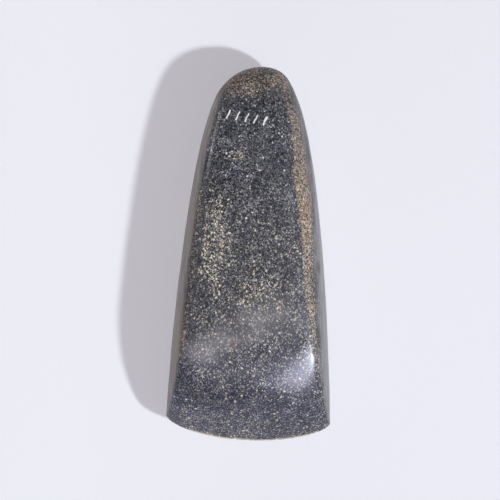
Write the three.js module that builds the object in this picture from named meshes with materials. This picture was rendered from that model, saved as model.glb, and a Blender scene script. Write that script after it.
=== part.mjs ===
// A stone adze head: polished, quadrangular with rounded corners, tapering from a broad
// curved cutting edge to a narrower blunt poll. Millimetres, +Z up, +Y towards the poll.
// It lies on its wider, gently curved front face, and the bevelled back face is up.
import * as THREE from "three";

// Overall sizes
const LENGTH = 130; // from the cutting edge to the tip of the poll
const BLADE_WIDTH = 59.6; // at the cutting edge, before its corners are rounded
const BUTT_WIDTH = 37.8; // of the body's taper where it meets the poll
const SIDE_BOW = 4.6; // how far the two sides together swell past a straight taper
const BACK_AT_BUTT = 29.5; // height of the back face above the table, near the poll
const BACK_AT_CHIN = 28.9; // and where it would meet the cutting edge without the bevel
const BACK_RISE = 1.8; // power of its rise from the one to the other

// Poll
const POLL_ROUND = 11.5; // length over which the outline closes at the poll
const POLL_BLUNT = 9.5; // length over which the thickness closes there
const POLL_HEIGHT = 13; // height of the poll's tip above the table
const POLL_UNDER = 5.0; // height of the underside near the poll
const POLL_LEAN = 2; // the tip sits this far right of the midline
const POLL_LEAN_REACH = 11; // and the lean has gone this far down

// Bevel and cutting edge
const BEVEL_SLOPE = 1.15; // fall for each millimetre of length, right at the edge
const CHIN_SHARPNESS = 3.6; // higher gives a crisper chin between bevel and back
const EDGE_THICKNESS = 0.5; // the worn rounding of the cutting edge
const EDGE_HEIGHT = 10; // height of the cutting edge above the table, at its middle
const EDGE_CURL = 1.6; // its corners sit this much higher
const EDGE_CURL_REACH = 30;
const EDGE_BOW = 6.1; // how far the corners stand back from the edge's middle
const EDGE_BOW_POWER = 2.2;
const EDGE_BOW_CENTRE = 1.5; // the foremost point is this far right of the midline
const CORNER_CUT = 1.6; // further rounding of the two corners
const CORNER_REACH = 8;

// Sides, underside and cross-section
const WIDEST_HEIGHT = 7.5; // height of the widest line at the resting place
const REST_FROM_POLL = 72; // where the curved underside rests, from the poll
const UNDER_CURVE = 2.2; // how the underside leaves the table towards both ends
const CROWN = 1.2; // rise of the back face's middle over its borders
const CHIN_CROWN_LEFT = 2.5; // and of the bevel's start, which falls away
const CHIN_CROWN_RIGHT = 5; // more to the right
const CROWN_POWER = 2.5; // higher keeps the middle flat and turns down later
const CHIN_FROM_EDGE = 9; // where that fuller crown is reached
const CROWN_REACH = 26; // and how far it takes to grow
const LEFT_SLOPE = 0.15; // lean of the left side inward, per millimetre of height
const RIGHT_SLOPE = 0.17;
const LEFT_CORNER = 14; // superellipse powers: higher is a sharper corner
const RIGHT_CORNER = 5;
const UNDER_CORNER = 2.6;
const POLL_CORNER = 2.4;
const BLADE_CORNER = 20;
const POLL_CORNER_REACH = 14;
const BLADE_CORNER_REACH = 90;

// Real flat spots: the resting facet below, and the haft's seat on the back face
const REST_FLAT_DEPTH = 0.2; // stone ground away under the belly
const SEAT_FROM_POLL = 42; // middle of the seat
const SEAT_DEPTH = 0.15; // stone ground away at its middle

// Facets
const ROWS_WANTED = 66; // along the length
const HALF_ROUND_WANTED = 32; // over the section's upper half, and as many under it
const ROW_REACH = 0.88; // under 1 keeps the rows dense at the poll only

const ROWS = Math.round(ROWS_WANTED);
const HALF_ROUND = Math.round(HALF_ROUND_WANTED);
const ROUND = 2 * HALF_ROUND;

const clamp = (v, lo, hi) => Math.min(hi, Math.max(lo, v));
const mix = (a, b, k) => a + (b - a) * k;

function rowAt(k) {
  const half = Math.PI / 2;
  const full = Math.sin(half * ROW_REACH) ** 2;
  return LENGTH * Math.sin(half * ROW_REACH * k) ** 2 / full;
}

// Half of the outline's width at a distance from the poll.
function halfWidth(t) {
  const q = t / LENGTH;
  const taper = mix(BUTT_WIDTH, BLADE_WIDTH, q) + 4 * SIDE_BOW * q * (1 - q);
  return 0.5 * taper * Math.sqrt(t / (t + POLL_ROUND));
}

// Height of the section's widest line, and the stone's depth below and rise above it.
function heights(t) {
  const toPoll = clamp(1 - t / REST_FROM_POLL, 0, 1);
  const toEdge = clamp((t - REST_FROM_POLL) / (LENGTH - REST_FROM_POLL), 0, 1);
  const blunt = Math.sqrt(t / (t + POLL_BLUNT));
  const widest = WIDEST_HEIGHT
    + (POLL_HEIGHT - WIDEST_HEIGHT) * toPoll ** 2
    + (EDGE_HEIGHT - WIDEST_HEIGHT) * toEdge ** 2;
  const under = POLL_UNDER * toPoll ** UNDER_CURVE + EDGE_HEIGHT * toEdge ** UNDER_CURVE;
  const down = Math.max(widest - under, EDGE_THICKNESS / 2) * blunt;
  const back = mix(BACK_AT_BUTT, BACK_AT_CHIN, (t / LENGTH) ** BACK_RISE);
  const rise = Math.max((back - widest) * blunt, 1e-6);
  const bevel = EDGE_THICKNESS / 2 + (LENGTH - t) * BEVEL_SLOPE;
  const up = (rise ** -CHIN_SHARPNESS + bevel ** -CHIN_SHARPNESS) ** (-1 / CHIN_SHARPNESS);
  return { widest, down, up };
}

// The superellipse power at one place of the section.
function cornerPower(t, across, above) {
  const toBlade = clamp(1 - (LENGTH - t) / BLADE_CORNER_REACH, 0, 1) ** 1.5;
  const toPoll = Math.exp(-t / POLL_CORNER_REACH);
  if (!above) return mix(UNDER_CORNER, POLL_CORNER, toPoll);
  const right = 0.5 + 0.5 * Math.tanh(3 * across);
  const body = mix(LEFT_CORNER, RIGHT_CORNER, right);
  return mix(mix(body, BLADE_CORNER, toBlade), POLL_CORNER, toPoll);
}

// How much higher the middle of the back face is than its borders.
function crownAt(t, u) {
  const chin = u < 0 ? CHIN_CROWN_LEFT : CHIN_CROWN_RIGHT;
  const k = clamp((t - (LENGTH - CHIN_FROM_EDGE - CROWN_REACH)) / CROWN_REACH, 0, 1);
  return mix(CROWN, chin, k * k * (3 - 2 * k));
}

// One point of the surface, from its distance to the poll and its angle round the section.
function surfacePoint(t, angle) {
  const across = Math.cos(angle);
  const height = Math.sin(angle);
  const above = height >= 0;
  const n = cornerPower(t, across, above);
  const size = (Math.abs(across) ** n + Math.abs(height) ** n) ** (1 / n);
  const u = across / size;
  const v = height / size;
  const half = halfWidth(t);
  const { widest, down, up } = heights(t);
  const lean = (u < 0 ? LEFT_SLOPE : RIGHT_SLOPE) * up * Math.max(v, 0) ** 1.5;
  let x = half * u - lean * u;
  const crown = crownAt(t, u) * Math.min(1, up / 18) * Math.abs(u) ** CROWN_POWER;
  let z = widest + (above ? up - crown : down) * v;

  const toEdge = LENGTH - t;
  const bowFade = clamp(1 - toEdge / (0.5 * LENGTH), 0, 1) ** 2;
  const offCentre = Math.abs(x - EDGE_BOW_CENTRE) / (0.5 * BLADE_WIDTH);
  const bow = EDGE_BOW * offCentre ** EDGE_BOW_POWER * bowFade;
  const cut = CORNER_CUT * Math.abs(x / half) ** 14 * clamp(1 - toEdge / CORNER_REACH, 0, 1) ** 2;
  const y = LENGTH / 2 - t + bow + cut;
  z += EDGE_CURL * u * u * clamp(1 - toEdge / EDGE_CURL_REACH, 0, 1) ** 2;
  x += POLL_LEAN * clamp(1 - t / POLL_LEAN_REACH, 0, 1) ** 2;
  return [x, y, z];
}

// The height of the resting facet: the underside's lowest point and a little more.
function restHeight() {
  let lowest = Infinity;
  for (let row = 1; row <= ROWS; row++) {
    lowest = Math.min(lowest, surfacePoint(rowAt(row / ROWS), -Math.PI / 2)[2]);
  }
  return lowest + REST_FLAT_DEPTH;
}

// The haft's seat: a plane just under the back face's crest and sloping with it.
function seatPlane() {
  const step = 5;
  const middle = surfacePoint(SEAT_FROM_POLL, Math.PI / 2);
  const before = surfacePoint(SEAT_FROM_POLL - step, Math.PI / 2);
  const after = surfacePoint(SEAT_FROM_POLL + step, Math.PI / 2);
  const slope = (after[2] - before[2]) / (after[1] - before[1]);
  return (y) => middle[2] - SEAT_DEPTH + slope * (y - middle[1]);
}

function adzeHead() {
  const rest = restHeight();
  const seat = seatPlane();
  const seatEnd = LENGTH / 2 - 2 * SEAT_FROM_POLL; // the plane leaves the bevel alone
  const positions = [];
  const index = [];
  const add = ([x, y, z]) => {
    const ground = y > seatEnd ? Math.min(z, seat(y)) : z;
    positions.push(x, y, Math.max(ground, rest) - rest);
  };

  add(surfacePoint(1e-6, 0));
  for (let row = 1; row <= ROWS; row++) {
    for (let k = 0; k < ROUND; k++) {
      add(surfacePoint(rowAt(row / ROWS), (2 * Math.PI * k) / ROUND));
    }
  }

  const at = (row, k) => 1 + (row - 1) * ROUND + (k % ROUND);
  for (let k = 0; k < ROUND; k++) index.push(0, at(1, k + 1), at(1, k));
  for (let row = 1; row < ROWS; row++) {
    for (let k = 0; k < ROUND; k++) {
      index.push(at(row, k), at(row + 1, k + 1), at(row + 1, k));
      index.push(at(row, k), at(row, k + 1), at(row + 1, k + 1));
    }
  }
  // The cutting edge itself: a narrow strip between the upper and the lower rim.
  for (let k = 0; k < HALF_ROUND; k++) {
    const lower = (ROUND - k) % ROUND;
    const nextLower = ROUND - k - 1;
    if (k > 0) index.push(at(ROWS, k), at(ROWS, nextLower), at(ROWS, lower));
    if (k + 1 < HALF_ROUND) index.push(at(ROWS, k), at(ROWS, k + 1), at(ROWS, nextLower));
  }

  const geometry = new THREE.BufferGeometry();
  geometry.setAttribute("position", new THREE.Float32BufferAttribute(positions, 3));
  geometry.setIndex(index);
  geometry.computeBoundingBox();
  const box = geometry.boundingBox;
  geometry.translate(-(box.min.x + box.max.x) / 2, -(box.min.y + box.max.y) / 2, 0);
  geometry.computeVertexNormals();
  const mesh = new THREE.Mesh(geometry, new THREE.MeshStandardMaterial({ color: 0x5a5a60 }));
  mesh.name = "adze_head";
  return mesh;
}

const adze = new THREE.Group();
adze.name = "stone_adze";
adze.add(adzeHead());

export default adze;
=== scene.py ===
"""A polished stone adze head lying on a pale table, seen from straight above."""

import math

import bpy
import numpy as np
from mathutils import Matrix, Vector, noise


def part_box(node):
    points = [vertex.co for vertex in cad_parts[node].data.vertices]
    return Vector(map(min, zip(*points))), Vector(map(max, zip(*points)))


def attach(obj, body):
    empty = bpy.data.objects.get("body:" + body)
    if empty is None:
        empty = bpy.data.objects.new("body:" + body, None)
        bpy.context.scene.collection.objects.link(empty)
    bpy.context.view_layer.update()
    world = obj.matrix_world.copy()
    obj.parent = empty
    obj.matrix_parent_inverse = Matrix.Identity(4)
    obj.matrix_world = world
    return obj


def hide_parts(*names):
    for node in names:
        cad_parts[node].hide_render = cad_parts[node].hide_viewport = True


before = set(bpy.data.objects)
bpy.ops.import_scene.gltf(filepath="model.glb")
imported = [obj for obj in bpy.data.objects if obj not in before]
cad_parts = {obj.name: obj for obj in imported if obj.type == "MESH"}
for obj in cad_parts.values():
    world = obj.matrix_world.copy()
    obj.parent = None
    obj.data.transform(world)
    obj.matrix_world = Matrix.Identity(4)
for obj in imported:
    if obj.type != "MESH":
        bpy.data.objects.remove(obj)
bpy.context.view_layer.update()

# The stone's form in millimetres, as in the solid.
LENGTH = 130.0
BLADE_WIDTH = 59.6
BUTT_WIDTH = 37.8
SIDE_BOW = 4.6
BACK_AT_BUTT = 29.5
BACK_AT_CHIN = 28.9
BACK_RISE = 1.8
POLL_ROUND = 11.5
POLL_BLUNT = 9.5
POLL_HEIGHT = 13.0
POLL_UNDER = 5.0
POLL_LEAN = 2.0
POLL_LEAN_REACH = 11.0
BEVEL_SLOPE = 1.15
CHIN_SHARPNESS = 3.6
EDGE_THICKNESS = 0.5
EDGE_HEIGHT = 10.0
EDGE_CURL = 1.6
EDGE_CURL_REACH = 30.0
EDGE_BOW = 6.1
EDGE_BOW_POWER = 2.2
EDGE_BOW_CENTRE = 1.5
CORNER_CUT = 1.6
CORNER_REACH = 8.0
WIDEST_HEIGHT = 7.5
REST_FROM_POLL = 72.0
UNDER_CURVE = 2.2
CROWN = 1.2
CHIN_CROWN_LEFT = 2.5
CHIN_CROWN_RIGHT = 5.0
CROWN_POWER = 2.5
CHIN_FROM_EDGE = 9.0
CROWN_REACH = 26.0
LEFT_SLOPE = 0.15
RIGHT_SLOPE = 0.17
LEFT_CORNER = 14.0
RIGHT_CORNER = 5.0
UNDER_CORNER = 2.6
POLL_CORNER = 2.4
BLADE_CORNER = 20.0
POLL_CORNER_REACH = 14.0
BLADE_CORNER_REACH = 90.0
REST_FLAT_DEPTH = 0.2

# The painted strokes: place of their middle, turn, spacing and height.
MARK_AT = (-2.8, 46.6)
MARK_TURN = math.radians(-9)
MARK_PITCH = 3.2
MARK_TALL = 3.4

# Mesh: rows along the stone and points over each half of a section.
ROWS = 300
HALF_ROUND = 160
ROW_REACH = 0.9
SECTION_STEPS = 900  # steps along half a section that its even points are found on

# How the object lies in the picture: the picture's width is true at the widest line.
TURN = math.radians(1.53)
CAMERA_HEIGHT = 1.0
CAMERA_SENSOR = 36
PICTURE_WIDTH = 0.1745
PICTURE_PLANE = 0.008
PICTURE_CENTRE = (-0.0009, 0.0013)

# Light: where the key stands, in degrees and metres, and the strengths.
KEY_SIDE = -26
KEY_HEIGHT = 46
KEY_AWAY = 1.3
KEY_RADIUS = 0.046
KEY = 21.2
KEY_COLOUR = (0.93, 0.985, 1.0)
FILL = 1.52
FILL_COLOUR = (1.0, 0.964, 0.968)
ROOM = (0.06, 0.06, 0.065, 1)
WINDOW = (0.34, 0.34, 0.56, 1)

# Lamps that only shine back from the polish: strength, colour, spread, side and height.
GLINTS = {
    "ceiling": (0.17, (1, 0.97, 1.03), 18, -118, 68),
    "sheen": (1.8, (0.86, 0.86, 1.12), 30, -43, 53),
    "left_glint": (0.3, (1, 1, 1), 12, 160, 40),
}

# The back face's borders: distance from the poll, and share of the half width.
RIGHT_ARRIS_AT = (8, 20, 35, 47, 56, 75, 87, 94, 103, 110, 116, 124)
RIGHT_ARRIS = (0.60, 0.66, 0.62, 0.64, 0.67, 0.68, 0.72, 0.76, 0.82, 0.88, 0.94, 0.99)
STRIP_AT = (8, 28, 46, 63, 75, 88, 103, 113)
STRIP_END = (0.95, 0.98, 0.93, 0.865, 0.845, 0.855, 0.90, 0.95)
STRIP_COVER = (0.5, 0.8, 1.0, 0.9, 0.78, 0.8, 0.7, 0.25)
LEFT_ARRIS_AT = (0, 95, 108, 120, 126)
LEFT_ARRIS = (0.83, 0.86, 0.89, 0.955, 0.985)

# Where the face is more speckled: centre, reach in millimetres and strength.
CREAM_PATCHES = (
    ((-13, 3), (9, 27), 0.8),
    ((-6, 34), (6, 2.5), 0.9),
    ((3, -14), (16, 10), 0.6),
    ((2, -47), (20, 8), 0.22),
)

# A lighter band painted across the face over the chin, in the same way: a painted reflection, a haze
# on the polish.
PAINTED_HAZE_PATCHES = (
    ((-16, -34), (11, 6), 0.85),
    ((-11, -31), (12, 7), 0.9),
    ((-5, -27), (12, 8), 0.9),
    ((1, -23), (12, 9), 0.9),
    ((7, -21), (12, 10), 0.85),
    ((13, -22), (11, 9), 0.5),
)

# A small dent in the right side: along the stone and up.
DENT_AT = (-4.2, 20.6)
DENT_REACH = (3.4, 3.4)
DENT_DEPTH = 0.4

# A flake scar at the poll's tip and a rust spot on the face, seen from above.
SCAR_AT = (-0.6, 63.6)
SCAR_REACH = (1.6, 1.0)
SCAR_DEPTH = 0.5
RUST_AT = (-5.5, -30.4)
RUST_REACH = (2.1, 1.6)
RUST_DEPTH = 0.12

# Tan weathering of the poll: where it ends, its strength and a patch below its end.
POLL_END = (7, 14)
POLL_COVER = 0.62
POLL_PATCH_AT = (-9, 54.5)
POLL_PATCH_REACH = (5, 3)
POLL_PATCH_COVER = 0.5

# Tiny nicks of the cutting edge: place across and depth.
NICKS = ((-4.4, 0.35), (0.2, 0.25), (10.2, 0.3), (-12.5, 0.2), (16.5, 0.2))

# Unevenness of the surface: size in metres, depth in millimetres and seed.
GROUND_WAVES = ((0.016, 0.10, 5), (0.007, 0.03, 6))
PECK_WAVES = ((0.0013, 0.05, 7), (0.0030, 0.06, 8))

# Half of the table's side, in metres, and how fine its grain is.
TABLE_HALF = 1.5
TABLE_GRAIN = 420

# Colours of the table and of the stone, and the size and turns of its laths.
TABLE = (0.875, 0.875, 0.93, 1)
# Painted light: the table's colour is lighter towards the left, where more light falls.
TABLE_LIT_LEFT = (0.925, 0.925, 0.97, 1)
DARK = (0.0045, 0.005, 0.009, 1)
DARK_BLUE_SHEEN = (0.004, 0.0045, 0.013, 1)
GREY_BLUE = (0.098, 0.10, 0.138, 1)
BEVEL_BLUE_SHEEN = (0.044, 0.047, 0.113, 1)
LATH = (0.41, 0.41, 0.40, 1)
LATH_SIZE = (0.95, 0.34, 0.34)
LATH_TURNS = (0.35, 1.45, 2.55)
CREAM = (1.0, 0.86, 0.57, 1)
PALE_GREY = (0.85, 0.82, 0.72, 1)
PALE_BLUE = (0.66, 0.68, 0.72, 1)
TAN_DARK = (0.042, 0.03, 0.022, 1)
TAN_LIGHT = (0.46, 0.32, 0.205, 1)
TAN_PALE = (0.83, 0.675, 0.50, 1)
POLL_GOLD = (0.84, 0.66, 0.37, 1)
RUST = (0.27, 0.11, 0.065, 1)
PAINT = (0.88, 0.88, 0.88, 1)
SIDE_DARK = (0.07, 0.066, 0.07, 1)
SIDE_LIGHT = (0.20, 0.185, 0.185, 1)
SIDE_BROWN_DARK = (0.065, 0.05, 0.036, 1)
SIDE_BROWN_LIGHT = (0.30, 0.245, 0.185, 1)
SIDE_STREAK = (0.24, 0.14, 0.07, 1)
PAINTED_HAZE = (0.175, 0.168, 0.19, 1)


def mix(a, b, k):
    return a + (b - a) * k


def section_size(t):
    """Half width, height of the widest line, depth under it and rise over it."""
    q = t / LENGTH
    taper = mix(BUTT_WIDTH, BLADE_WIDTH, q) + 4 * SIDE_BOW * q * (1 - q)
    half = 0.5 * taper * np.sqrt(t / (t + POLL_ROUND))
    to_poll = np.clip(1 - t / REST_FROM_POLL, 0, 1)
    to_edge = np.clip((t - REST_FROM_POLL) / (LENGTH - REST_FROM_POLL), 0, 1)
    blunt = np.sqrt(t / (t + POLL_BLUNT))
    widest = (
        WIDEST_HEIGHT
        + (POLL_HEIGHT - WIDEST_HEIGHT) * to_poll**2
        + (EDGE_HEIGHT - WIDEST_HEIGHT) * to_edge**2
    )
    under = POLL_UNDER * to_poll**UNDER_CURVE + EDGE_HEIGHT * to_edge**UNDER_CURVE
    down = np.maximum(widest - under, EDGE_THICKNESS / 2) * blunt
    back = mix(BACK_AT_BUTT, BACK_AT_CHIN, q**BACK_RISE)
    rise = np.maximum((back - widest) * blunt, 1e-6)
    bevel = EDGE_THICKNESS / 2 + (LENGTH - t) * BEVEL_SLOPE
    power = CHIN_SHARPNESS
    up = (rise**-power + bevel**-power) ** (-1 / power)
    return half, widest, down, up


def surface(t, angle):
    """Points of the stone, from the distance to the poll and the angle round the section."""
    across = np.cos(angle)
    height = np.sin(angle)
    above = height >= 0
    half, widest, down, up = section_size(t)
    to_blade = np.clip(1 - (LENGTH - t) / BLADE_CORNER_REACH, 0, 1) ** 1.5
    to_poll = np.exp(-t / POLL_CORNER_REACH)
    right = 0.5 + 0.5 * np.tanh(3 * across)
    top = mix(mix(LEFT_CORNER, RIGHT_CORNER, right), BLADE_CORNER, to_blade)
    n = mix(np.where(above, top, UNDER_CORNER), POLL_CORNER, to_poll)
    size = (np.abs(across) ** n + np.abs(height) ** n) ** (1 / n)
    u = across / size
    v = height / size
    slope = np.where(u < 0, LEFT_SLOPE, RIGHT_SLOPE)
    x = half * u - slope * up * np.maximum(v, 0) ** 1.5 * u
    grown = smooth(t, LENGTH - CHIN_FROM_EDGE - CROWN_REACH, LENGTH - CHIN_FROM_EDGE)
    chin = np.where(u < 0, CHIN_CROWN_LEFT, CHIN_CROWN_RIGHT)
    crown = mix(CROWN, chin, grown) * np.minimum(1, up / 18) * np.abs(u) ** CROWN_POWER
    z = widest + np.where(above, up - crown, down) * v
    to_edge = LENGTH - t
    bow_fade = np.clip(1 - to_edge / (0.5 * LENGTH), 0, 1) ** 2
    off_centre = np.abs(x - EDGE_BOW_CENTRE) / (0.5 * BLADE_WIDTH)
    y = LENGTH / 2 - t + EDGE_BOW * off_centre**EDGE_BOW_POWER * bow_fade
    near = np.clip(1 - to_edge / CORNER_REACH, 0, 1) ** 2
    y = y + CORNER_CUT * np.abs(x / half) ** 14 * near
    z = z + EDGE_CURL * u * u * np.clip(1 - to_edge / EDGE_CURL_REACH, 0, 1) ** 2
    x = x + POLL_LEAN * np.clip(1 - t / POLL_LEAN_REACH, 0, 1) ** 2
    return np.stack([x, y, z], axis=-1)


def even_half(t, start, stop, count):
    """count points over half a section, evenly spaced along it."""
    dense = np.linspace(start, stop, SECTION_STEPS)
    points = surface(np.full_like(dense, t), dense)
    step = np.linalg.norm(np.diff(points, axis=0), axis=1)
    way = np.concatenate([[0], np.cumsum(step)])
    angles = np.interp(np.linspace(0, way[-1], count + 1)[:-1], way, dense)
    return surface(np.full_like(angles, t), angles)


def stone_points():
    k = np.arange(1, ROWS + 1) / ROWS
    ts = LENGTH * np.sin(0.5 * np.pi * ROW_REACH * k) ** 2
    ts = ts / math.sin(0.5 * math.pi * ROW_REACH) ** 2
    rings = []
    for t in ts:
        top = even_half(t, 0, math.pi, HALF_ROUND)
        bottom = even_half(t, math.pi, 2 * math.pi, HALF_ROUND)
        rings.append(np.concatenate([top, bottom]))
    tip = surface(np.array([1e-6]), np.array([0.0]))
    return tip, np.array(rings)


def stone_faces():
    around = 2 * HALF_ROUND
    at = 1 + np.arange(ROWS * around).reshape(ROWS, around)
    nxt = np.roll(at, -1, axis=1)
    faces = [(0, int(b), int(a)) for a, b in zip(at[0], nxt[0])]
    quads = np.stack([at[:-1], nxt[:-1], nxt[1:], at[1:]], axis=-1).reshape(-1, 4)
    faces += [tuple(int(i) for i in q) for q in quads]
    last = at[-1]
    for i in range(HALF_ROUND):
        low, next_low = last[-i], last[-i - 1]
        if i > 0:
            faces.append((int(last[i]), int(next_low), int(low)))
        if i + 1 < HALF_ROUND:
            faces.append((int(last[i]), int(last[i + 1]), int(next_low)))
    return faces


def fit_to_box(points):
    """Grinds the resting flat, then fits the form to the solid's box, in metres."""
    low, high = (np.array(v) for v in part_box("adze_head"))
    a, b = points.min(axis=0), points.max(axis=0)
    rest = a[2] + REST_FLAT_DEPTH
    points[:, 2] = np.maximum(points[:, 2], rest)
    a = points.min(axis=0)
    return low + (points - a) * (high - low) / (b - a)


def along_mm(points):
    """Distance from the poll's tip, in millimetres, of points in metres."""
    return LENGTH / 2 - points[:, 1] * 1000


def from_edge(points):
    """Distance in millimetres back from the bowed cutting edge, of points in metres."""
    off_centre = np.abs(points[:, 0] * 1000 - EDGE_BOW_CENTRE) / (0.5 * BLADE_WIDTH)
    bow = EDGE_BOW * off_centre**EDGE_BOW_POWER
    return points[:, 1] * 1000 + LENGTH / 2 - bow


def smooth(value, start, stop):
    k = np.clip((value - start) / (stop - start), 0, 1)
    return k * k * (3 - 2 * k)


def bump_at(x, y, centre, reach):
    """1 at a place seen from above, falling to 0 at its reach."""
    far = np.hypot((x - centre[0]) / reach[0], (y - centre[1]) / reach[1])
    return 1 - smooth(far, 0.2, 1.0)


def strongest(x, y, patches, least):
    """The strongest of several patches at each point, and at least this much."""
    value = np.zeros_like(x) + least
    for centre, reach, strength in patches:
        value = np.maximum(value, bump_at(x, y, centre, reach) * strength)
    return value


def wander(points, size, seed):
    """Smooth noise of about -1 to 1 with features of a given size in metres."""
    shift = Vector((seed * 7.3, seed * 3.1, seed * 5.7))
    return np.array([noise.noise(Vector(p) / size + shift) for p in points])


def waves(points, kinds):
    """Several layers of smooth noise, each of its own size and depth."""
    return sum(wander(points, size, seed) * depth for size, depth, seed in kinds)


def zones(points, normals):
    """Where the stone is weathered, ground smooth or speckled, and where reflection and shade are
    painted, as shares from 0 to 1.
    """
    x = points[:, 0] * 1000
    y = points[:, 1] * 1000
    t = along_mm(points)
    half = section_size(np.maximum(t, 0.01))[0]
    share = x / np.maximum(half, 1)
    up = smooth(normals[:, 2], -0.2, 0.15)
    waver = wander(points, 0.006, 1) * 0.03 + wander(points, 0.0016, 2) * 0.02
    right_line = np.interp(t, RIGHT_ARRIS_AT, RIGHT_ARRIS)
    left_line = np.interp(t, LEFT_ARRIS_AT, LEFT_ARRIS)
    before_blade = 1 - smooth(t, 96, 118)
    strip = smooth(share + waver, right_line, right_line + 0.05)
    strip_end = np.interp(t, STRIP_AT, STRIP_END)
    strip = strip * (1 - smooth(share + waver, strip_end - 0.06, strip_end + 0.04))
    fringe = smooth(-share + waver, left_line - 0.16, left_line - 0.02)
    fringe = fringe * (1 - smooth(-share, left_line, left_line + 0.03)) * 0.5
    fringe = fringe * smooth(t, 30, 46)
    poll = (1 - smooth(t + wander(points, 0.008, 3) * 3, *POLL_END)) * POLL_COVER
    patch = bump_at(x, y, POLL_PATCH_AT, POLL_PATCH_REACH) * POLL_PATCH_COVER
    poll = np.maximum(poll, patch)
    strip = strip * np.interp(t, STRIP_AT, STRIP_COVER)
    patina = np.maximum(strip, fringe * before_blade)
    patina = np.maximum(patina, poll) * up
    left = smooth(-share, left_line - 0.005, left_line + 0.03)
    right = smooth(share + waver * 0.6, np.maximum(0.80, right_line), np.maximum(0.94, right_line))
    side = np.maximum(left, right) * smooth(t, 3, 14)
    cream = strongest(x, y, CREAM_PATCHES, 0.05 + 0.15 * smooth(t, 25, 65))
    border = smooth(-share + waver, left_line - 0.16, left_line - 0.08) * smooth(t, 18, 40)
    cream = cream * (1 - 0.9 * border)
    painted_haze = strongest(x, y, PAINTED_HAZE_PATCHES, 0) * up
    # The bevel, where the ground is painted darker and bluer, partly a painted reflection.
    bevel = smooth(t, 88, 108) * up
    rim = (1 - smooth(from_edge(points) + waver * 6, 0.3, 0.6)) * smooth(waver, -0.035, 0.0)
    rust = bump_at(x, y, RUST_AT, RUST_REACH)
    dent_and_shade = bump_at(y, points[:, 2] * 1000, DENT_AT, DENT_REACH) * (normals[:, 0] > 0.2)
    return {
        "patina": patina,
        "side": side,
        "left_side": left * up,
        "cream": cream,
        "bevel": bevel,
        "rim": rim,
        "rust": rust,
        "border": border * before_blade,
        "painted_haze": painted_haze,
        "poll_end": (1 - smooth(t, 9, 26)) * up,
        "dent_and_shade": dent_and_shade,
    }


def relief(points, normals, masks):
    """Shallow hand-ground unevenness, pecking on the weathered strip and small scars."""
    x = points[:, 0] * 1000
    y = points[:, 1] * 1000
    t = along_mm(points)
    free = smooth(points[:, 2] * 1000, 0.05, 1.5)
    end = smooth(t, 0, 6) * (1 - smooth(t, 112, 124))
    pecked = waves(points, PECK_WAVES) * masks["patina"]
    raised = (waves(points, GROUND_WAVES) + pecked) * end
    raised = raised - DENT_DEPTH * masks["dent_and_shade"]
    raised = raised - SCAR_DEPTH * bump_at(x, y, SCAR_AT, SCAR_REACH)
    raised = raised - RUST_DEPTH * masks["rust"]
    moved = points + normals * (raised * free / 1000)[:, None]
    for place, size in NICKS:
        nick = np.clip(1 - np.abs(x - place) / (2 * size), 0, 1)
        moved[:, 1] += 0.001 * size * nick * (1 - smooth(from_edge(points), 0.3, 2.0))
    return moved


def build_stone():
    tip, rings = stone_points()
    points = np.concatenate([tip, rings.reshape(-1, 3)])
    points = fit_to_box(points)
    mesh = bpy.data.meshes.new("adze_head")
    mesh.from_pydata(points.tolist(), [], stone_faces())
    normals = np.empty(len(points) * 3)
    mesh.vertices.foreach_get("normal", normals)
    normals = normals.reshape(-1, 3)
    masks = zones(points, normals)
    moved = relief(points, normals, masks)
    mesh.vertices.foreach_set("co", moved.astype(np.float32).ravel())
    for name, values in masks.items():
        layer = mesh.attributes.new(name, "FLOAT", "POINT")
        layer.data.foreach_set("value", values.astype(np.float32))
    mesh.update()
    mesh.shade_smooth()
    stone = bpy.data.objects.new("adze_head_look", mesh)
    bpy.context.scene.collection.objects.link(stone)
    return stone


class Nodes:
    """Short calls for building a material's node tree."""

    def __init__(self, material):
        self.tree = material.node_tree
        self.nodes = self.tree.nodes
        self.links = self.tree.links

    def add(self, kind, **settings):
        node = self.nodes.new(kind)
        for key, value in settings.items():
            setattr(node, key, value)
        return node

    def put(self, socket, value):
        if isinstance(value, bpy.types.NodeSocket):
            self.links.new(value, socket)
        else:
            socket.default_value = value

    def math(self, operation, a, b=0.0, clamp=False):
        node = self.add("ShaderNodeMath", operation=operation, use_clamp=clamp)
        self.put(node.inputs[0], a)
        self.put(node.inputs[1], b)
        return node.outputs[0]

    def ramp(self, value, start, stop, low=0.0, high=1.0):
        node = self.add("ShaderNodeMapRange", interpolation_type="SMOOTHSTEP")
        self.put(node.inputs["Value"], value)
        node.inputs["From Min"].default_value = start
        node.inputs["From Max"].default_value = stop
        node.inputs["To Min"].default_value = low
        node.inputs["To Max"].default_value = high
        return node.outputs["Result"]

    def colour(self, factor, a, b):
        node = self.add("ShaderNodeMix", data_type="RGBA")
        self.put(node.inputs[0], factor)
        self.put(node.inputs[6], a)
        self.put(node.inputs[7], b)
        return node.outputs[2]

    def noise(self, vector, scale, detail=2.0, rough=0.5, distort=0.0):
        node = self.add("ShaderNodeTexNoise")
        self.put(node.inputs["Vector"], vector)
        node.inputs["Scale"].default_value = scale
        node.inputs["Detail"].default_value = detail
        node.inputs["Roughness"].default_value = rough
        node.inputs["Distortion"].default_value = distort
        return node.outputs["Fac"]


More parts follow.
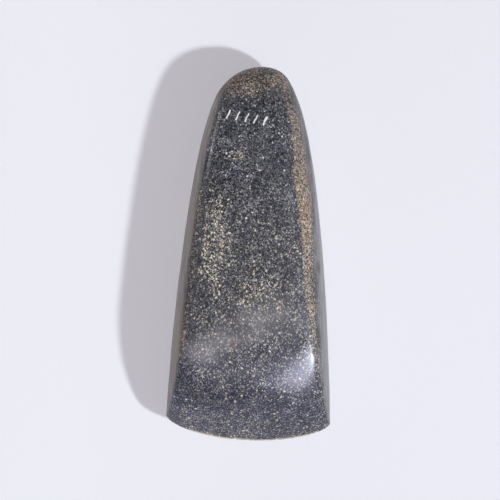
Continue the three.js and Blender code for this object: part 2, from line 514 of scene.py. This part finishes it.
def laths(n, place, turn, seed, size=1.0):
    """Short light rods, all along one direction: crystals cut by the surface."""
    mapping = n.add("ShaderNodeMapping", vector_type="TEXTURE")
    n.put(mapping.inputs["Vector"], place)
    mapping.inputs["Location"].default_value = (seed * 3.1, seed * 2.3, seed * 1.7)
    mapping.inputs["Rotation"].default_value = (0, 0, turn)
    mapping.inputs["Scale"].default_value = [size * side for side in LATH_SIZE]
    cells = n.add("ShaderNodeTexVoronoi", voronoi_dimensions="3D", feature="F1")
    n.put(cells.inputs["Vector"], mapping.outputs[0])
    cells.inputs["Scale"].default_value = 1.0
    shape = n.ramp(cells.outputs["Distance"], 0.46, 0.28)
    draw = n.add("ShaderNodeSeparateColor")
    n.put(draw.inputs[0], cells.outputs["Color"])
    return n.math("MULTIPLY", shape, n.ramp(draw.outputs[0], 0.25, 0.95))


def grains(n, place, size, zone):
    """Single pale grains of about half this size in millimetres, more of them in the zone."""
    bent = n.add("ShaderNodeVectorMath", operation="MULTIPLY_ADD")
    wave = n.add("ShaderNodeTexNoise")
    n.put(wave.inputs["Vector"], place)
    wave.inputs["Scale"].default_value = 2.2
    n.put(bent.inputs[0], wave.outputs["Color"])
    bent.inputs[1].default_value = (0.7, 0.7, 0.7)
    n.put(bent.inputs[2], place)
    cells = n.add("ShaderNodeTexVoronoi", voronoi_dimensions="3D", feature="F1")
    n.put(cells.inputs["Vector"], bent.outputs[0])
    cells.inputs["Scale"].default_value = 1 / size
    draw = n.add("ShaderNodeSeparateColor")
    n.put(draw.inputs[0], cells.outputs["Color"])
    chance = n.math("MULTIPLY_ADD", zone, 0.55)
    n.put(chance.node.inputs[2], draw.outputs[0])
    shape = n.ramp(cells.outputs["Distance"], 0.42, 0.22)
    bright = n.ramp(draw.outputs[1], 0.0, 1.0, 0.35, 1.0)
    return n.math("MULTIPLY", n.math("MULTIPLY", shape, bright), n.ramp(chance, 0.86, 0.98))


def attribute(n, name):
    node = n.add("ShaderNodeAttribute", attribute_name=name)
    return node.outputs["Fac"]


def paint_marks(n, place):
    """A short row of slanted white strokes near the poll, where a painted mark was."""
    turned = n.add("ShaderNodeMapping", vector_type="TEXTURE")
    n.put(turned.inputs["Vector"], place)
    turned.inputs["Location"].default_value = (*MARK_AT, 0)
    turned.inputs["Rotation"].default_value = (0, 0, MARK_TURN)
    way = n.add("ShaderNodeSeparateXYZ")
    n.put(way.inputs[0], turned.outputs[0])
    along, over, height = way.outputs
    wobble = n.math("MULTIPLY", n.noise(place, 0.5, detail=1), 0.9)
    leaned = n.math("SUBTRACT", n.math("ADD", along, wobble), n.math("MULTIPLY", over, 0.25))
    from_middle = n.math("PINGPONG", leaned, MARK_PITCH / 2)
    line = n.ramp(from_middle, 0.34, 0.2)
    long_enough = n.ramp(n.math("ABSOLUTE", over), 0.5 * MARK_TALL, 0.5 * MARK_TALL - 0.2)
    near = n.ramp(n.math("ABSOLUTE", leaned), 2.5 * MARK_PITCH, 2.5 * MARK_PITCH - 0.1)
    on_top = n.ramp(height, 15.0, 16.0)
    return n.math("MULTIPLY", n.math("MULTIPLY", line, long_enough), n.math("MULTIPLY", near, on_top))


def stone_material():
    material = bpy.data.materials.new("polished_stone")
    material.use_nodes = True
    n = Nodes(material)
    shader = n.nodes["Principled BSDF"]
    coords = n.add("ShaderNodeTexCoord").outputs["Object"]
    scaled = n.add("ShaderNodeVectorMath", operation="SCALE")
    n.put(scaled.inputs[0], coords)
    scaled.inputs["Scale"].default_value = 1000
    place = scaled.outputs[0]
    patina = attribute(n, "patina")
    side = attribute(n, "side")
    left_side = attribute(n, "left_side")
    cream_zone = attribute(n, "cream")
    bevel = attribute(n, "bevel")

    # The dark ground with grey-blue mottling, and a painted reflection: a lighter haze over the chin.
    fine = n.noise(place, 1.8, detail=2, rough=0.7)
    broad = n.noise(place, 0.11, detail=2, rough=0.5)
    # On the bevel the ground is painted darker and bluer, partly as a painted bluish reflection.
    dark = n.colour(bevel, DARK, DARK_BLUE_SHEEN)
    ground = n.colour(n.ramp(fine, 0.47, 0.63), dark, n.colour(bevel, GREY_BLUE, BEVEL_BLUE_SHEEN))
    painted_haze = n.math("MULTIPLY", attribute(n, "painted_haze"), n.ramp(broad, 0.3, 0.6, 0.6, 0.9))
    ground = n.colour(painted_haze, ground, PAINTED_HAZE)

    # Interlocking pale laths in three directions, of uneven brightness.
    first, second, third = (laths(n, place, turn, k + 1) for k, turn in enumerate(LATH_TURNS))
    laths_all = n.math("MAXIMUM", n.math("MAXIMUM", first, second), third)
    uneven = n.ramp(n.noise(place, 0.8, detail=2, rough=0.6), 0.36, 0.60, 0.25, 1.0)
    patchy = n.ramp(n.noise(place, 0.22, detail=2, rough=0.6), 0.35, 0.65, 0.5, 1.0)
    lath_strength = n.math("MULTIPLY", laths_all, n.math("MULTIPLY", uneven, patchy))
    poll_end = attribute(n, "poll_end")
    calm = n.math("MAXIMUM", attribute(n, "border"), n.math("MULTIPLY", poll_end, 0.8))
    calm = n.ramp(calm, 0.0, 1.0, 1.0, 0.45)
    lath_strength = n.math("MULTIPLY", lath_strength, calm)
    colour = n.colour(lath_strength, ground, LATH)

    # Cream grains, larger and denser where the face is speckled.
    clump = n.math("MULTIPLY_ADD", cream_zone, 0.115)
    n.put(clump.node.inputs[2], n.noise(place, 1.0, detail=3, rough=0.8, distort=0.3))
    clump = n.math("MULTIPLY", n.ramp(clump, 0.66, 0.74), n.ramp(cream_zone, 0.2, 0.4))
    speck = n.math("MAXIMUM", grains(n, place, 1.05, cream_zone), grains(n, place, 0.62, cream_zone))
    speck = n.math("MAXIMUM", speck, n.math("MULTIPLY", clump, 0.85))
    rods = n.math("MAXIMUM", laths(n, place, 0.9, 4, 1.5), laths(n, place, 2.2, 5, 1.4))
    rods = n.math("MULTIPLY", n.ramp(rods, 0.72, 0.95), n.ramp(cream_zone, 0.0, 0.6, 0.25, 0.9))
    speck = n.math("MAXIMUM", speck, rods)
    tint = n.noise(place, 0.6, detail=1)
    grain_colour = n.colour(n.ramp(tint, 0.4, 0.6), CREAM, PALE_GREY)
    grain_colour = n.colour(n.ramp(cream_zone, -0.05, 0.3), PALE_BLUE, grain_colour)
    colour = n.colour(speck, colour, grain_colour)

    # Weathered tan on the poll, along the right arris and in a fringe at the left one.
    weather = n.noise(place, 1.35, detail=3, rough=0.65, distort=0.6)
    reach = n.math("MULTIPLY_ADD", patina, 0.275)
    n.put(reach.node.inputs[2], weather)
    shown = n.ramp(reach, 0.66, 0.72)
    tan = n.colour(n.ramp(n.noise(place, 1.0, detail=2), 0.35, 0.65), TAN_DARK, TAN_LIGHT)
    fleck_colour = n.colour(poll_end, TAN_PALE, POLL_GOLD)
    tan = n.colour(n.ramp(fine, 0.52, 0.64), tan, fleck_colour)
    colour = n.colour(n.math("MULTIPLY", shown, 0.85), colour, tan)

    # The ground sides: smooth grey-brown with faint lengthwise streaks.
    streak = n.add("ShaderNodeMapping")
    n.put(streak.inputs["Vector"], place)
    streak.inputs["Scale"].default_value = (0.7, 0.07, 0.38)
    streaks = n.noise(streak.outputs[0], 1.0, detail=3, rough=0.6)
    streaks = n.ramp(streaks, 0.4, 0.6)
    side_colour = n.colour(streaks, SIDE_DARK, SIDE_LIGHT)
    brown_side = n.colour(streaks, SIDE_BROWN_DARK, SIDE_BROWN_LIGHT)
    brown = n.ramp(n.noise(streak.outputs[0], 0.8, detail=4, rough=0.7), 0.47, 0.57)
    brown_side = n.colour(n.math("MULTIPLY", brown, 0.75), brown_side, SIDE_STREAK)
    side_colour = n.colour(left_side, side_colour, brown_side)
    smoothed = n.math("MULTIPLY", side, n.ramp(left_side, 0.0, 1.0, 0.78, 0.72))
    colour = n.colour(smoothed, colour, side_colour)

    # The dent, its hollow painted dark as painted shade, a rust spot, the worn pale line of the
    # cutting edge and the painted strokes.
    colour = n.colour(n.math("MULTIPLY", attribute(n, "dent_and_shade"), 0.8), colour, DARK)
    spot = n.math("MULTIPLY", attribute(n, "rust"), n.ramp(weather, 0.42, 0.56))
    colour = n.colour(n.math("MULTIPLY", spot, 0.8), colour, RUST)
    colour = n.colour(n.math("MULTIPLY", attribute(n, "rim"), 0.7), colour, TAN_PALE)
    paint = paint_marks(n, place)
    colour = n.colour(paint, colour, PAINT)

    # Broad unevenness of tone.
    tone = n.ramp(broad, 0.3, 0.7, 0.85, 1.15)
    toned = n.add("ShaderNodeVectorMath", operation="SCALE")
    n.put(toned.inputs[0], colour)
    n.put(toned.inputs["Scale"], tone)
    n.put(shader.inputs["Base Color"], toned.outputs[0])

    rough = n.ramp(patina, 0.0, 0.6, 0.30, 0.62)
    rough = n.math("ADD", rough, n.math("MULTIPLY", lath_strength, 0.06))
    n.put(shader.inputs["Roughness"], rough)
    shader.inputs["Specular IOR Level"].default_value = 0.8

    height = n.math("MULTIPLY_ADD", lath_strength, -0.5)
    n.put(height.node.inputs[2], n.math("MULTIPLY", weather, patina))
    bump = n.add("ShaderNodeBump")
    bump.inputs["Strength"].default_value = 0.25
    bump.inputs["Distance"].default_value = 0.00012
    n.put(bump.inputs["Height"], height)
    n.put(shader.inputs["Normal"], bump.outputs[0])
    return material


def table():
    mesh = bpy.data.meshes.new("table_top")
    half = TABLE_HALF
    corners = [(-half, -half, 0), (half, -half, 0), (half, half, 0), (-half, half, 0)]
    mesh.from_pydata(corners, [], [(0, 1, 2, 3)])
    floor = bpy.data.objects.new("table_top", mesh)
    bpy.context.scene.collection.objects.link(floor)
    material = bpy.data.materials.new("pale_table")
    material.use_nodes = True
    shader = material.node_tree.nodes["Principled BSDF"]
    shader.inputs["Roughness"].default_value = 0.7
    n = Nodes(material)
    place = n.add("ShaderNodeTexCoord").outputs["Object"]
    grain = n.noise(place, TABLE_GRAIN, detail=2, rough=0.55)
    way = n.add("ShaderNodeSeparateXYZ")
    n.put(way.inputs[0], place)
    # The table is painted lighter towards the left: painted light, where more light falls.
    painted_light_left = n.ramp(way.outputs[0], 0.02, -0.08)
    n.put(shader.inputs["Base Color"], n.colour(painted_light_left, TABLE, TABLE_LIT_LEFT))
    bump = n.add("ShaderNodeBump")
    bump.inputs["Strength"].default_value = 0.2
    bump.inputs["Distance"].default_value = 0.0004
    n.put(bump.inputs["Height"], grain)
    n.put(shader.inputs["Normal"], bump.outputs[0])
    mesh.materials.append(material)


def sun(name, strength, colour, spread, side, height):
    """An even lamp that shines from this side and height, in degrees."""
    data = bpy.data.lights.new(name, "SUN")
    data.energy = strength
    data.color = colour
    data.angle = math.radians(spread)
    lamp = bpy.data.objects.new(name, data)
    bpy.context.scene.collection.objects.link(lamp)
    lamp.rotation_euler = (0, math.radians(90 - height), math.radians(side))
    return lamp


def key_lamp():
    """The lamp that casts the shadow: near enough for the shadow to spread, but even."""
    data = bpy.data.lights.new("key", "POINT")
    data.color = KEY_COLOUR
    data.shadow_soft_size = KEY_RADIUS
    data.energy = 1
    data.use_nodes = True
    n = Nodes(data)
    even = n.add("ShaderNodeLightFalloff")
    even.inputs["Strength"].default_value = KEY
    n.put(n.nodes["Emission"].inputs["Strength"], even.outputs["Constant"])
    lamp = bpy.data.objects.new("key", data)
    side, height = math.radians(KEY_SIDE), math.radians(KEY_HEIGHT)
    flat = KEY_AWAY * math.cos(height)
    lamp.location = (flat * math.cos(side), flat * math.sin(side), KEY_AWAY * math.sin(height))
    bpy.context.scene.collection.objects.link(lamp)


def lights():
    """A key from the lower right, an even fill from overhead, and glints on the polish."""
    key_lamp()
    fill = sun("fill", FILL, FILL_COLOUR, 5, 0, 90)
    fill.visible_glossy = False
    for name, settings in GLINTS.items():
        sun(name, *settings).visible_diffuse = False

    world = bpy.data.worlds.new("room")
    world.use_nodes = True
    n = Nodes(world)
    back = n.nodes["Background"]
    way = n.add("ShaderNodeSeparateXYZ")
    n.put(way.inputs[0], n.add("ShaderNodeTexCoord").outputs["Generated"])
    low = n.ramp(way.outputs[2], 0.75, 0.1)
    ahead = n.ramp(way.outputs[1], -0.3, -0.95)
    glow = n.math("MULTIPLY", low, ahead)
    n.put(back.inputs["Color"], n.colour(glow, ROOM, WINDOW))
    back.inputs["Strength"].default_value = 1.0
    bpy.context.scene.world = world
    bpy.context.scene.view_settings.view_transform = "Standard"


def camera():
    data = bpy.data.cameras.new("camera")
    data.sensor_width = CAMERA_SENSOR
    data.lens = CAMERA_SENSOR * (CAMERA_HEIGHT - PICTURE_PLANE) / PICTURE_WIDTH
    data.clip_end = 10
    eye = bpy.data.objects.new("camera", data)
    eye.location = (*PICTURE_CENTRE, CAMERA_HEIGHT)
    eye.rotation_euler = (0, 0, TURN)
    bpy.context.scene.collection.objects.link(eye)
    bpy.context.scene.camera = eye


stone = build_stone()
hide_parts("adze_head")
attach(stone, "root")
stone.data.materials.append(stone_material())
table()
lights()
camera()

bpy.context.view_layer.update()
